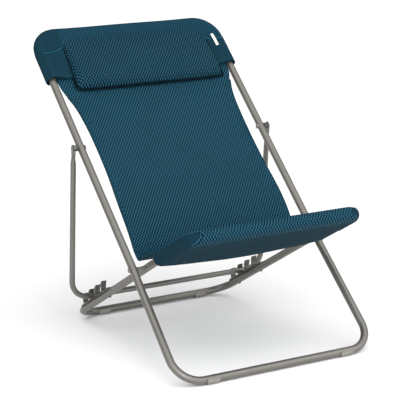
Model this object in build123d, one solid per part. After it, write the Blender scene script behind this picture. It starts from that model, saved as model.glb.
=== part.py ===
from build123d import *
import math
import os

# Folding beach chair: two crossed tube loops, a prop that drops into toothed racks, a padded sling.
# Millimetres. +Z up, the sitter faces -Y, the floor is Z = 0, the origin is under the middle.

# ---- driving dimensions -------------------------------------------------------------------
TUBE_R = 10.0              # main tubes, 20 mm outside diameter
TUBE_WALL = 1.2
PROP_R = 7.5               # prop tube, 15 mm outside diameter
PROP_WALL = 1.2
FLOOR_BAR_Z = 12.0         # height of the bars that stand on the floor
FRONT_BAR_Y = -403.4       # floor bar of the back frame

BACK_ANGLE = 43.5          # slope of the back frame above the floor, degrees
BACK_LENGTH = 1111.0       # floor bar to top bar
BACK_HALF = 276.0          # half width of the back frame above the seat pivot
BACK_FLOOR_HALF = 284.0    # the legs spread a little towards the floor bar
BACK_FLOOR_BEND = 68.0
BACK_TOP_BEND = 70.0
BACK_KINK_BEND = 400.0
SEAT_PIVOT_ON_BACK = 336.6     # floor bar to seat pivot, along the back frame
PROP_PIVOT_ON_BACK = 726.0     # floor bar to prop pivot, along the back frame

SEAT_LENGTH = 757.0        # rear floor bar to front bar
SEAT_PIVOT_ON_SEAT = 498.3     # rear floor bar to seat pivot, along the seat frame
SEAT_HALF = 235.0
SEAT_BEND = 62.0

PROP_HALF = 297.7
PROP_BEND = 50.0
PROP_BAR_ON_SEAT = 134.5   # where the prop bar lies, measured from the rear floor bar
EYE_R = 10.5               # flattened ends of the prop
EYE_THICK = 3.2
EYE_NECK = 14.0            # flat length below the eye centre
EYE_BLEND = 26.0           # length over which the round tube is pressed flat

GAP = 0.3                  # clearance between parts that move past each other
BOLT_R = 3.0
BOLT_FIT = 0.05            # running clearance round the bolts, radial
HEAD_R = 6.5
HEAD_H = 2.4
HEAD_SEAT = 0.2             # the bent tube bulges this far under the seat pivot heads
SPACER_R = 5.0
WASHER_R = 8.0
NUT_R = 6.0
NUT_H = 3.0

RACK_PITCH = 43.5
RACK_START = 63.0
RACK_END = 254.0
RACK_SKIN = 2.5            # thickness of the saddle on the tube
RACK_SPREAD = 55.0         # the saddle hugs the tube this many degrees each side of its crown
TOOTH_COUNT = 4
TOOTH_WIDTH = 14.0
NOTCH_R = 8.0               # hollow that the prop bar drops into
# the hook's face, tip and rounded back: ahead of the bar's middle, above the tube axis
TOOTH_HOOK = [
    (-3.1, 29.2), (0.9, 33.6), (4.3, 37.5), (-2.5, 36.9), (-7.5, 33.8), (-11.2, 28.6),
    (-13.4, 22.0), (-15.0, 16.0),
]
RIVET_R = 2.0
RIVET_HEAD_R = 4.0
RIVET_HEAD_H = 1.6
RIVET_TAIL_H = 2.6
RIVETS_AT = (106.0, 240.0)

FOOT_LENGTH = 34.0
FOOT_WALL = 3.0
FOOT_LIP = 4.0             # the foot clip reaches this far above the tube axis
FRONT_FOOT_X = 195.0
REAR_FOOT_X = 154.0
SLEEVE_LENGTH = 90.0       # inner sleeve that joins the two ends of each bent tube
SLEEVE_WALL = 1.0

SLING_THICK = 6.0
SLING_HALF = 234.0
FABRIC = 3.0
HOOD_HEM = 952.0           # lower hem of the hood, along the back frame
HOOD_SIDE = 4.0            # cloth thickness of the hood outside the tube
HOOD_SLAB = 6.0            # half thickness of the hood between the tubes
POCKET_HEM = 575.0         # rear hem of the pocket under the seat front
POCKET_SAG = 9.0
PILLOW_HALF = 224.0
PILLOW_FOOT = 897.0
PILLOW_HEAD = 1076.0
PILLOW_THICK = 46.0
PILLOW_EDGE = 16.0
TAG_WIDTH = 12.0
TAG_LENGTH = 42.0
TAG_THICK = 1.0
TAG_X = 246.0
TAG_S = 1034.0
BINDING = 4.0              # width of the stitched edge of the sling

# ---- derived positions ----------------------------------------------------------------------
pivot_z = FLOOR_BAR_Z + SEAT_PIVOT_ON_BACK * math.sin(math.radians(BACK_ANGLE))
pivot_y = FRONT_BAR_Y + SEAT_PIVOT_ON_BACK * math.cos(math.radians(BACK_ANGLE))
SEAT_ANGLE = math.degrees(math.asin((pivot_z - FLOOR_BAR_Z) / SEAT_PIVOT_ON_SEAT))
rear_bar_y = pivot_y + SEAT_PIVOT_ON_SEAT * math.cos(math.radians(SEAT_ANGLE))
rack_top = TUBE_R + RACK_SKIN
prop_bar_h = rack_top + GAP + PROP_R


# Plane of the back frame: local X across, local Y up the slope, local Z out of the front face.
back_plane = Plane(
    origin=(0, FRONT_BAR_Y, FLOOR_BAR_Z),
    x_dir=(1, 0, 0),
    z_dir=(0, -math.sin(math.radians(BACK_ANGLE)), math.cos(math.radians(BACK_ANGLE))),
)
# Plane of the seat frame: local X across, local Y from the rear bar to the front bar, Z up.
seat_plane = Plane(
    origin=(0, rear_bar_y, FLOOR_BAR_Z),
    x_dir=(-1, 0, 0),
    z_dir=(0, math.sin(math.radians(SEAT_ANGLE)), math.cos(math.radians(SEAT_ANGLE))),
)


def on_back(x, s, d):
    """World point at x, distance s up the back frame and d in front of its plane."""
    return back_plane.from_local_coords(Vector(x, s, d))


def on_seat(x, t, h):
    """World point at x, distance t along the seat frame and h above its plane."""
    return seat_plane.from_local_coords(Vector(-x, t, h))


prop_pivot = on_back(0, PROP_PIVOT_ON_BACK, 0)
prop_bar = on_seat(0, PROP_BAR_ON_SEAT, prop_bar_h)
prop_length = (prop_bar - prop_pivot).length
prop_down = (prop_bar - prop_pivot).normalized()
# Plane of the prop: local Y from the pivots down to the bar.
prop_plane = Plane(origin=prop_pivot, x_dir=(1, 0, 0), z_dir=Vector(1, 0, 0).cross(prop_down))


# ---- helpers ----------------------------------------------------------------------------------
def bent_path(points, radii, closed):
    """Straight runs joined by tangent arcs, in the local XY of a plane."""
    count = len(points)
    ends = []
    for i in range(count):
        here = Vector(*points[i])
        if radii[i] == 0:
            ends.append((here, here, here))
            continue
        back = (Vector(*points[i - 1]) - here).normalized()
        ahead = (Vector(*points[(i + 1) % count]) - here).normalized()
        half = math.radians(back.get_angle(ahead)) / 2
        reach = radii[i] / math.tan(half)
        middle = (back + ahead).normalized()
        crown = here + middle * (radii[i] / math.sin(half) - radii[i])
        ends.append((here + back * reach, crown, here + ahead * reach))
    edges = []
    for i in range(count):
        first, crown, last = ends[i]
        if radii[i] > 0:
            edges.append(ThreePointArc(first, crown, last))
        if i + 1 < count or closed:
            edges.append(Line(last, ends[(i + 1) % count][0]))
    return edges


def swept(edges, plane, outer, inner):
    """Round tube along a chain of edges that starts on a straight run."""
    wire = plane.from_local_coords(Wire(edges))
    ring = Circle(outer)
    if inner > 0:
        ring = ring - Circle(inner)
    start = Plane(origin=wire @ 0, z_dir=wire % 0)
    return sweep(start * ring, path=wire)


def x_rod(radius, x0, x1, centre):
    """Cylinder along X between x0 and x1 through a point in the side view."""
    place = Plane(origin=(min(x0, x1), centre.Y, centre.Z), x_dir=(0, 1, 0), z_dir=(1, 0, 0))
    return extrude(place * Circle(radius), abs(x1 - x0))


def x_block(points, x0, x1, plane_point):
    """Closed side-view outline, given by a function of two lengths, extruded along X."""
    corners = [plane_point(0, a, b) for a, b in points]
    face = Face(Wire.make_polygon(corners + [corners[0]], close=True))
    face = Pos(x0, 0, 0) * face
    return Solid.extrude(face, Vector(x1 - x0, 0, 0))


def both_sides(make):
    return Compound(children=[make(-1), make(1)])


def back_loop():
    top = BACK_LENGTH
    points = [
        (0, top), (-BACK_HALF, top), (-BACK_HALF, SEAT_PIVOT_ON_BACK), (-BACK_FLOOR_HALF, 0),
        (BACK_FLOOR_HALF, 0), (BACK_HALF, SEAT_PIVOT_ON_BACK), (BACK_HALF, top),
    ]
    radii = [0, BACK_TOP_BEND, BACK_KINK_BEND, BACK_FLOOR_BEND,
             BACK_FLOOR_BEND, BACK_KINK_BEND, BACK_TOP_BEND]
    return bent_path(points, radii, True)


def seat_loop():
    far = SEAT_LENGTH
    points = [(0, far), (-SEAT_HALF, far), (-SEAT_HALF, 0), (SEAT_HALF, 0), (SEAT_HALF, far)]
    return bent_path(points, [0] + [SEAT_BEND] * 4, True)


def seat_bolt_axis():
    return on_back(0, SEAT_PIVOT_ON_BACK, 0)


# ---- back frame ---------------------------------------------------------------------------------
def back_tube():
    tube = swept(back_loop(), back_plane, TUBE_R, TUBE_R - TUBE_WALL)
    wide = BACK_FLOOR_HALF + 3 * TUBE_R
    tube -= x_rod(BOLT_R, -wide, wide, seat_bolt_axis())
    tube -= x_rod(BOLT_R, -wide, wide, prop_pivot)
    return tube


def joining_sleeve(plane_point, along):
    centre = plane_point(0, along, 0)
    outer = TUBE_R - TUBE_WALL
    half = SLEEVE_LENGTH / 2
    return x_rod(outer, -half, half, centre) - x_rod(outer - SLEEVE_WALL, -half, half, centre)


def foot(x, bar_y):
    centre = Vector(0, bar_y, FLOOR_BAR_Z)
    x0, x1 = x - FOOT_LENGTH / 2, x + FOOT_LENGTH / 2
    outer = TUBE_R + FOOT_WALL
    clip = x_rod(outer, x0, x1, centre) - x_rod(TUBE_R, x0 - 1, x1 + 1, centre)
    keep = Pos(x, bar_y, (FLOOR_BAR_Z + FOOT_LIP) / 2) * Box(
        FOOT_LENGTH, 4 * outer, FLOOR_BAR_Z + FOOT_LIP)
    return clip & keep


# ---- seat pivot -----------------------------------------------------------------------------------
def seat_bolt(side):
    axis = seat_bolt_axis()
    head_x = BACK_HALF + TUBE_R + HEAD_SEAT
    tail_x = SEAT_HALF - TUBE_R - GAP - NUT_H - 1.5
    head = x_rod(HEAD_R, side * head_x, side * (head_x + HEAD_H), axis)
    return head + x_rod(BOLT_R, side * tail_x, side * head_x, axis)


def seat_spacer(side):
    axis = seat_bolt_axis()
    x0, x1 = SEAT_HALF + TUBE_R + GAP, BACK_HALF - TUBE_R
    ring = x_rod(SPACER_R, side * x0, side * x1, axis)
    return ring - x_rod(BOLT_R, side * (x0 - 1), side * (x1 + 1), axis)


def cap_nut(side, outer_x, axis):
    """Low nut that closes the bolt on the inner side of a tube."""
    nut = x_rod(NUT_R, side * (outer_x - NUT_H), side * outer_x, axis)
    return nut - x_rod(BOLT_R, side * (outer_x - NUT_H - 1), side * (outer_x + 1), axis)


def seat_nut(side):
    return cap_nut(side, SEAT_HALF - TUBE_R - GAP, seat_bolt_axis())


# ---- prop pivot -------------------------------------------------------------------------------------
def prop_bolt(side):
    head_x = PROP_HALF + EYE_THICK / 2 + GAP
    tail_x = BACK_HALF - TUBE_R - NUT_H - 1.5
    head = x_rod(HEAD_R, side * head_x, side * (head_x + HEAD_H), prop_pivot)
    return head + x_rod(BOLT_R, side * tail_x, side * head_x, prop_pivot)


def prop_washer(side):
    x0, x1 = BACK_HALF + TUBE_R, PROP_HALF - EYE_THICK / 2 - GAP
    ring = x_rod(WASHER_R, side * x0, side * x1, prop_pivot)
    return ring - x_rod(BOLT_R, side * (x0 - 1), side * (x1 + 1), prop_pivot)


def prop_nut(side):
    return cap_nut(side, BACK_HALF - TUBE_R, prop_pivot)


# ---- prop -------------------------------------------------------------------------------------------
def prop_end(side):
    """Tube end pressed flat into a rounded eye with the pivot hole."""
    x = side * PROP_HALF
    eye = x_rod(EYE_R, x - EYE_THICK / 2, x + EYE_THICK / 2, prop_pivot)
    flat = prop_plane * (Pos(x, EYE_NECK / 2, 0) * Box(EYE_THICK, EYE_NECK, 2 * EYE_R))
    low = prop_plane.from_local_coords(Vector(x, EYE_NECK, 0))
    round_at = prop_plane.from_local_coords(Vector(x, EYE_NECK + EYE_BLEND, 0))
    pressed = Plane(origin=low, x_dir=(1, 0, 0), z_dir=prop_down) * Rectangle(EYE_THICK, 2 * EYE_R)
    tube_end = Plane(origin=round_at, x_dir=(1, 0, 0), z_dir=prop_down) * Circle(PROP_R)
    end = eye + flat + loft([pressed, tube_end])
    return end - x_rod(BOLT_R + BOLT_FIT, x - EYE_THICK, x + EYE_THICK, prop_pivot)


def prop_tube():
    start = EYE_NECK + EYE_BLEND
    points = [(-PROP_HALF, start), (-PROP_HALF, prop_length),
              (PROP_HALF, prop_length), (PROP_HALF, start)]
    edges = bent_path(points, [0, PROP_BEND, PROP_BEND, 0], False)
    tube = swept(edges, prop_plane, PROP_R, PROP_R - PROP_WALL)
    return tube + prop_end(-1) + prop_end(1)


# ---- seat frame ---------------------------------------------------------------------------------------
def rivet_rod(side, along, radius, low, high):
    place = Plane(
        origin=on_seat(side * SEAT_HALF, along, low), x_dir=(1, 0, 0), z_dir=seat_plane.z_dir)
    return extrude(place * Circle(radius), high - low)


def seat_tube():
    tube = swept(seat_loop(), seat_plane, TUBE_R, TUBE_R - TUBE_WALL)
    wide = SEAT_HALF + 3 * TUBE_R
    tube -= x_rod(BOLT_R + BOLT_FIT, -wide, wide, seat_bolt_axis())
    for side in (-1, 1):
        for along in RIVETS_AT:
            tube -= rivet_rod(side, along, RIVET_R, -2 * TUBE_R, 2 * TUBE_R)
    return tube


def rack_rivet(side, along):
    head = rivet_rod(side, along, RIVET_HEAD_R, rack_top, rack_top + RIVET_HEAD_H)
    shank = rivet_rod(side, along, RIVET_R, -TUBE_R - RIVET_TAIL_H, rack_top)
    tail = rivet_rod(side, along, RIVET_HEAD_R - 1, -TUBE_R - RIVET_TAIL_H, -TUBE_R)
    return head + shank + tail - rivet_seat(side)


def rivet_seat(side):
    """The tube outside, which the rivet tails press against."""
    start = on_seat(side * SEAT_HALF, RACK_START - 20, 0)
    place = Plane(origin=start, x_dir=(1, 0, 0), z_dir=seat_plane.y_dir)
    ring = Circle(TUBE_R) - Circle(TUBE_R - TUBE_WALL)
    bore = extrude(place * ring, RACK_END - RACK_START + 40)
    for along in RIVETS_AT:
        bore -= rivet_rod(side, along, RIVET_R, -2 * TUBE_R, 2 * TUBE_R)
    return bore


def rack_tooth(side, index):
    """One hooked tooth; its hollow front stops the prop bar."""
    notch = PROP_BAR_ON_SEAT + (index - 1) * RACK_PITCH
    floor_h = rack_top - RACK_SKIN / 2
    hollow = []
    for step in range(5):
        angle = math.radians(30 * step)
        hollow.append((notch - NOTCH_R * math.sin(angle), prop_bar_h - NOTCH_R * math.cos(angle)))
    hook = [(notch + ahead, height) for ahead, height in TOOTH_HOOK]
    outline = [(hook[-1][0], floor_h), (notch, floor_h)] + hollow + hook
    x = side * SEAT_HALF
    return x_block(outline, x - TOOTH_WIDTH / 2, x + TOOTH_WIDTH / 2, on_seat)


def rack(side):
    start = on_seat(side * SEAT_HALF, RACK_START, 0)
    place = Plane(origin=start, x_dir=(1, 0, 0), z_dir=seat_plane.y_dir)
    length = RACK_END - RACK_START
    shell = extrude(place * (Circle(TUBE_R + RACK_SKIN) - Circle(TUBE_R)), length)
    drop = TUBE_R * math.cos(math.radians(RACK_SPREAD))
    middle = on_seat(side * SEAT_HALF, RACK_START + length / 2, drop + TUBE_R)
    keep = Plane(origin=middle, x_dir=(1, 0, 0), z_dir=seat_plane.z_dir) * Box(
        4 * TUBE_R, 2 * length, 2 * TUBE_R)
    body = shell & keep
    crown = x_block(
        [(RACK_START, TUBE_R), (RACK_END, TUBE_R), (RACK_END, rack_top), (RACK_START, rack_top)],
        side * SEAT_HALF - TOOTH_WIDTH / 2, side * SEAT_HALF + TOOTH_WIDTH / 2, on_seat)
    body += crown
    for index in range(TOOTH_COUNT):
        body += rack_tooth(side, index)
    for along in RIVETS_AT:
        body -= rivet_rod(side, along, RIVET_R, 0, 2 * TUBE_R)
    return body


# ---- soft parts ---------------------------------------------------------------------------------------
def ribbon(points, thick):
    """Closed side-view outline of a sheet of even thickness along a line of points."""
    upper, lower = [], []
    for i, (a, b) in enumerate(points):
        ahead = points[min(i + 1, len(points) - 1)]
        behind = points[max(i - 1, 0)]
        run = Vector(ahead[0] - behind[0], ahead[1] - behind[1]).normalized()
        upper.append((a - run.Y * thick / 2, b + run.X * thick / 2))
        lower.append((a + run.Y * thick / 2, b - run.X * thick / 2))
    return upper + lower[::-1]


def sling_back():
    """Padded back panel; it widens below the hood and curls to the crease at its foot."""
    line = [(HOOD_HEM - GAP, 0), (760, 0), (620, -2), (520, -4), (460, -8), (420, -16), (397, -27)]
    panel = x_block(ribbon(line, SLING_THICK), -SLING_HALF, SLING_HALF, on_back)
    flare = []
    for side in (-1, 1):
        inner, outer = side * (SLING_HALF - 10), side * (BACK_HALF - TUBE_R - GAP)
        outline = back_plane * make_face(Polyline(
            (inner, 820), (side * (SLING_HALF + 3), 830), (side * (SLING_HALF + 10), 865),
            (side * (SLING_HALF + 24), 905), (outer, 930), (outer, HOOD_HEM - GAP),
            (inner, HOOD_HEM - GAP), (inner, 820)))
        flare.append(extrude(outline, SLING_THICK / 2, both=True))
    return panel + flare[0] + flare[1]


def seat_outline(grow):
    """Upright block with the rounded front corners of the seat loop."""
    shape = RectangleRounded(2 * (SEAT_HALF + grow), 2 * SEAT_LENGTH, SEAT_BEND + grow)
    return seat_plane * (Pos(0, grow, 0) * extrude(shape, 60, both=True))


def sling_seat():
    """Padded seat panel from the crease to over the front bar, lying on the seat tubes."""
    low = TUBE_R + SLING_THICK / 2
    line = [(459, 35), (500, 33), (560, 25), (620, 16), (660, low), (SEAT_LENGTH + 20, low)]
    panel = x_block(ribbon(line, SLING_THICK), -SLING_HALF, SLING_HALF, on_seat)
    return panel & seat_outline(TUBE_R)


def seat_pocket():
    """Closed pocket under the seat front; the front of the seat loop slides into it."""
    sleeve = swept(seat_loop(), seat_plane, TUBE_R + FABRIC + 1.5, TUBE_R)
    front = seat_plane * (Pos(0, POCKET_HEM + 200, 0) * Box(700, 400, 80))
    panel_line = [(POCKET_HEM, -TUBE_R - FABRIC - POCKET_SAG), (640, -TUBE_R - FABRIC - 7),
                  (SEAT_LENGTH, -TUBE_R - FABRIC / 2)]
    panel = x_block(ribbon(panel_line, FABRIC), -SEAT_HALF, SEAT_HALF, on_seat)
    above = seat_plane * (Pos(0, POCKET_HEM + 200, TUBE_R + 20) * Box(2 * SLING_HALF, 500, 40))
    body = (sleeve & front) + (panel & front & seat_outline(0))
    return body - above - sling_seat() - swept(seat_loop(), seat_plane, TUBE_R, 0)


def hood():
    """Pocket that is pulled over the top of the back frame."""
    sleeve = swept(back_loop(), back_plane, TUBE_R + HOOD_SIDE, TUBE_R)
    top = back_plane * (Pos(0, HOOD_HEM + 150, 0) * Box(700, 300, 80))
    slab = back_plane * (Pos(0, (HOOD_HEM + BACK_LENGTH) / 2, 0) * Box(
        2 * BACK_HALF, BACK_LENGTH - HOOD_HEM, 2 * HOOD_SLAB))
    solid_loop = swept(back_loop(), back_plane, TUBE_R, 0)
    corner_x, corner_s = BACK_HALF - BACK_TOP_BEND, BACK_LENGTH - BACK_TOP_BEND
    outside = back_plane * (Pos(0, BACK_LENGTH, 0) * Box(900, 2 * BACK_TOP_BEND, 60))
    outside -= back_plane * (Pos(0, BACK_LENGTH - 100, 0) * Box(2 * corner_x, 400, 60))
    for side in (-1, 1):
        round_part = back_plane * (Pos(side * corner_x, corner_s, 0) * Cylinder(BACK_TOP_BEND, 60))
        outside -= round_part
    return (sleeve & top) + ((slab - outside) - solid_loop)


def headrest_pillow():
    outline = [
        (PILLOW_FOOT, HOOD_SLAB + GAP), (PILLOW_HEAD, HOOD_SLAB + GAP),
        (PILLOW_HEAD, HOOD_SLAB + PILLOW_EDGE), (PILLOW_HEAD - 30, HOOD_SLAB + PILLOW_THICK - 10),
        (PILLOW_HEAD - 70, HOOD_SLAB + PILLOW_THICK), (PILLOW_FOOT + 50, HOOD_SLAB + PILLOW_THICK),
        (PILLOW_FOOT + 12, HOOD_SLAB + PILLOW_THICK - 10), (PILLOW_FOOT, HOOD_SLAB + PILLOW_EDGE),
    ]
    return x_block(outline, -PILLOW_HALF, PILLOW_HALF, on_back)


def hood_tag():
    lift = HOOD_SLAB + TAG_THICK / 2
    return back_plane * (Pos(TAG_X, TAG_S, lift) * Box(TAG_WIDTH, TAG_LENGTH, TAG_THICK))


def edge_binding(side):
    """Stitched binding along one free side of the back panel."""
    line = [(818, 0), (760, 0), (620, -2), (520, -4), (460, -8), (420, -16), (397, -27)]
    x0 = side * SLING_HALF
    return x_block(ribbon(line, SLING_THICK), x0, x0 + side * BINDING, on_back)


PARTS = {
    "back_tube": back_tube,
    "back_tube_sleeve": lambda: joining_sleeve(on_back, BACK_LENGTH),
    "front_foot_left": lambda: foot(-FRONT_FOOT_X, FRONT_BAR_Y),
    "front_foot_right": lambda: foot(FRONT_FOOT_X, FRONT_BAR_Y),
    "seat_pivot_bolts": lambda: both_sides(seat_bolt),
    "seat_pivot_spacers": lambda: both_sides(seat_spacer),
    "seat_pivot_nuts": lambda: both_sides(seat_nut),
    "prop_pivot_bolts": lambda: both_sides(prop_bolt),
    "prop_pivot_washers": lambda: both_sides(prop_washer),
    "prop_pivot_nuts": lambda: both_sides(prop_nut),
    "prop_tube": prop_tube,
    "seat_tube": seat_tube,
    "seat_tube_sleeve": lambda: joining_sleeve(on_seat, SEAT_LENGTH),
    "rear_foot_left": lambda: foot(-REAR_FOOT_X, rear_bar_y),
    "rear_foot_right": lambda: foot(REAR_FOOT_X, rear_bar_y),
    "rack_left": lambda: rack(-1),
    "rack_right": lambda: rack(1),
    "rack_rivets": lambda: Compound(
        children=[rack_rivet(side, along) for side in (-1, 1) for along in RIVETS_AT]),
    "sling_back": sling_back,
    "sling_seat": sling_seat,
    "binding_left": lambda: edge_binding(-1),
    "binding_right": lambda: edge_binding(1),
    "seat_pocket": seat_pocket,
    "hood": hood,
    "headrest_pillow": headrest_pillow,
    "hood_tag": hood_tag,
}

os.makedirs("parts", exist_ok=True)
for name, make in PARTS.items():
    export_step(make(), "parts/" + name + ".step")
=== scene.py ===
import math

import bmesh
import bpy
from mathutils import Matrix, Vector


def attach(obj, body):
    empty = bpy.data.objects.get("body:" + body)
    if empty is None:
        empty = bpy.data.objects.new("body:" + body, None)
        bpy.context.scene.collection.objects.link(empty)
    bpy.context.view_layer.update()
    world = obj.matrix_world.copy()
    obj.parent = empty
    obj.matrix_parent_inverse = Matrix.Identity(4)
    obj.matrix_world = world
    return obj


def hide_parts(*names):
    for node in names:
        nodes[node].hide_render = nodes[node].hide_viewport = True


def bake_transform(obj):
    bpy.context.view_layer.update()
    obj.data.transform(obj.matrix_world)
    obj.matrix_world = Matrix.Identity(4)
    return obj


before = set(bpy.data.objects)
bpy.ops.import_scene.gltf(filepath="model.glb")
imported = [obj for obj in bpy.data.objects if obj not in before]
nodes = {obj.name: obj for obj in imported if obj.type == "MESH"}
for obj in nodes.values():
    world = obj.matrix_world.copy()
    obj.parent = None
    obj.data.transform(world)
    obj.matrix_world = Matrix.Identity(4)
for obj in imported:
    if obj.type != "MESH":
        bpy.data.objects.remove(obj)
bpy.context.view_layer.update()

MM = 0.001

# ---- the chair's own frames, in millimetres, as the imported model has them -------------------
BACK_ANGLE = math.radians(43.5)
FRONT_BAR_Y = -403.4
FLOOR_BAR_Z = 12.0
SEAT_PIVOT_ON_BACK = 336.6
SEAT_PIVOT_ON_SEAT = 498.3
BACK_HALF = 276.0
BACK_LENGTH = 1111.0
SEAT_HALF = 235.0
SEAT_LENGTH = 757.0
pivot_y = FRONT_BAR_Y + SEAT_PIVOT_ON_BACK * math.cos(BACK_ANGLE)
pivot_z = FLOOR_BAR_Z + SEAT_PIVOT_ON_BACK * math.sin(BACK_ANGLE)
SEAT_ANGLE = math.asin((pivot_z - FLOOR_BAR_Z) / SEAT_PIVOT_ON_SEAT)
rear_bar_y = pivot_y + SEAT_PIVOT_ON_SEAT * math.cos(SEAT_ANGLE)
BACK_OUT = Vector((0, -math.sin(BACK_ANGLE), math.cos(BACK_ANGLE)))    # out of the back's front face


def on_back(x, s, d):
    """Metres: x across, s up the back frame, d in front of its plane."""
    y = FRONT_BAR_Y + s * math.cos(BACK_ANGLE) - d * math.sin(BACK_ANGLE)
    z = FLOOR_BAR_Z + s * math.sin(BACK_ANGLE) + d * math.cos(BACK_ANGLE)
    return Vector((x, y, z)) * MM


def on_seat(x, t, h):
    """Metres: x across, t forward along the seat frame, h above its plane."""
    y = rear_bar_y - t * math.cos(SEAT_ANGLE) + h * math.sin(SEAT_ANGLE)
    z = FLOOR_BAR_Z + t * math.sin(SEAT_ANGLE) + h * math.cos(SEAT_ANGLE)
    return Vector((x, y, z)) * MM


# ---- small tools -----------------------------------------------------------------------------
def lerp_table(table, at):
    """Value in proportion between the entries of a table of (position, value), positions rising."""
    if at <= table[0][0]:
        return table[0][1]
    for (a, va), (b, vb) in zip(table, table[1:]):
        if at <= b:
            k = (at - a) / (b - a)
            return va + (vb - va) * k
    return table[-1][1]


def ease(a, b, x):
    """0 at a, 1 at b, with a smooth start and end. a may be the larger."""
    k = min(max((x - a) / (b - a), 0.0), 1.0)
    return k * k * (3 - 2 * k)


def ripple(a, b, seed):
    """Soft deterministic unevenness between -1 and 1."""
    s = math.sin(a * 0.021 + seed * 1.7 + 1.3 * math.sin(b * 0.013 + seed))
    return 0.6 * s + 0.4 * math.sin(b * 0.027 - seed * 2.1 + 1.1 * math.sin(a * 0.017))


def grid_object(name, rows, uvs, closed=False):
    """Mesh from rows of points; uvs are in metres on the cloth."""
    mesh = bpy.data.meshes.new(name)
    bm = bmesh.new()
    layer = bm.loops.layers.uv.new("cloth")
    verts = [[bm.verts.new(p) for p in row] for row in rows]
    wide = len(rows[0])
    span = wide if closed else wide - 1
    for i in range(len(rows) - 1):
        for j in range(span):
            k = (j + 1) % wide
            quad = [(i, j), (i, k), (i + 1, k), (i + 1, j)]
            corners = [verts[a][b] for a, b in quad]
            if len(set(corners)) < 4:
                continue
            face = bm.faces.new(corners)
            face.smooth = True
            for loop, (a, b) in zip(face.loops, quad):
                u, v = uvs[a][b]
                if closed and k == 0 and b == 0:
                    u = uvs[a][wide - 1][0] + (uvs[a][1][0] - uvs[a][0][0])
                loop[layer].uv = (u, v)
    bm.to_mesh(mesh)
    bm.free()
    obj = bpy.data.objects.new(name, mesh)
    bpy.context.collection.objects.link(obj)
    return obj


def arc_uvs(rows):
    """Cloth coordinates in metres: lengths walked along the rows and down the columns."""
    middle = len(rows[0]) // 2
    down = [[0.0] * len(rows[0])]
    for above, row in zip(rows, rows[1:]):
        down.append([d + (b - a).length for d, a, b in zip(down[-1], above, row)])
    uvs = []
    for row, drops in zip(rows, down):
        across = [0.0]
        for a, b in zip(row, row[1:]):
            across.append(across[-1] + (b - a).length)
        uvs.append([(u - across[middle], -v) for u, v in zip(across, drops)])
    return uvs


def stitches(name, lines, body, mat, long=4.2, gap=2.3, thick=0.75):
    """Short raised stitches along each line of points."""
    bm = bmesh.new()
    for line in lines:
        want, run = 0.0, 0.0
        for a, b in zip(line, line[1:]):
            length = (b - a).length / MM
            if length < 1e-6:
                continue
            ahead = (b - a).normalized()
            while want < run + length:
                centre = a + ahead * (want - run) * MM
                side = ahead.orthogonal().normalized()
                other = ahead.cross(side)
                ring = []
                for k in range(6):
                    ang = math.pi * k / 3
                    ring.append(side * math.cos(ang) + other * math.sin(ang))
                ends = [bm.verts.new(centre - ahead * long / 2 * MM),
                        bm.verts.new(centre + ahead * long / 2 * MM)]
                low = [bm.verts.new(centre + (r * thick - ahead * long * 0.3) * MM) for r in ring]
                top = [bm.verts.new(centre + (r * thick + ahead * long * 0.3) * MM) for r in ring]
                for k in range(6):
                    n = (k + 1) % 6
                    bm.faces.new((low[k], low[n], top[n], top[k]))
                    bm.faces.new((ends[0], low[n], low[k]))
                    bm.faces.new((ends[1], top[k], top[n]))
                want += long + gap
            run += length
    bmesh.ops.recalc_face_normals(bm, faces=bm.faces)
    for face in bm.faces:
        face.smooth = True
    mesh = bpy.data.meshes.new(name)
    bm.to_mesh(mesh)
    bm.free()
    obj = bpy.data.objects.new(name, mesh)
    bpy.context.collection.objects.link(obj)
    obj.data.materials.append(mat)
    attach(obj, body)
    return obj


def piping(name, line, body, radius=1.5, mat=None):
    """Rolled cloth edge along a line of points; its default lighter cloth is a painted highlight along
    the edge.
    """
    rows = []
    for i, point in enumerate(line):
        ahead = (line[min(i + 1, len(line) - 1)] - line[max(i - 1, 0)]).normalized()
        side = ahead.cross(Vector((0.13, 0.37, 0.92))).normalized()
        other = ahead.cross(side)
        turn = [2 * math.pi * j / 8 for j in range(8)]
        rows.append([point + (side * math.cos(a) + other * math.sin(a)) * radius * MM
                     for a in turn])
    uvs = [[(j * radius * 0.8 * MM, i * 0.006) for j in range(8)] for i in range(len(rows))]
    obj = grid_object(name, rows, uvs, closed=True)
    close_ends(obj)
    add_modifier(obj, "SUBSURF", levels=1, render_levels=1)
    apply_modifiers(obj)
    obj.data.materials.append(mat or piping_highlight_mat)
    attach(obj, body)
    return obj


def close_ends(obj, face_outward=False):
    """Fills the open ends of a tube."""
    bm = bmesh.new()
    bm.from_mesh(obj.data)
    bmesh.ops.holes_fill(bm, edges=[e for e in bm.edges if e.is_boundary])
    if face_outward:
        bmesh.ops.recalc_face_normals(bm, faces=bm.faces)
    bm.to_mesh(obj.data)
    bm.free()


def add_modifier(obj, kind, **settings):
    mod = obj.modifiers.new(kind.lower(), kind)
    for key, value in settings.items():
        setattr(mod, key, value)
    return mod


def apply_modifiers(obj):
    deps = bpy.context.evaluated_depsgraph_get()
    mesh = bpy.data.meshes.new_from_object(obj.evaluated_get(deps))
    old = obj.data
    obj.modifiers.clear()
    obj.data = mesh
    bpy.data.meshes.remove(old)


# ---- materials -------------------------------------------------------------------------------
def new_material(name):
    mat = bpy.data.materials.new(name)
    mat.use_nodes = True
    tree = mat.node_tree
    tree.nodes.clear()
    out = tree.nodes.new("ShaderNodeOutputMaterial")
    bsdf = tree.nodes.new("ShaderNodeBsdfPrincipled")
    tree.links.new(bsdf.outputs["BSDF"], out.inputs["Surface"])
    return mat, tree, bsdf


def node(tree, kind, **settings):
    made = tree.nodes.new(kind)
    for key, value in settings.items():
        setattr(made, key, value)
    return made


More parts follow.
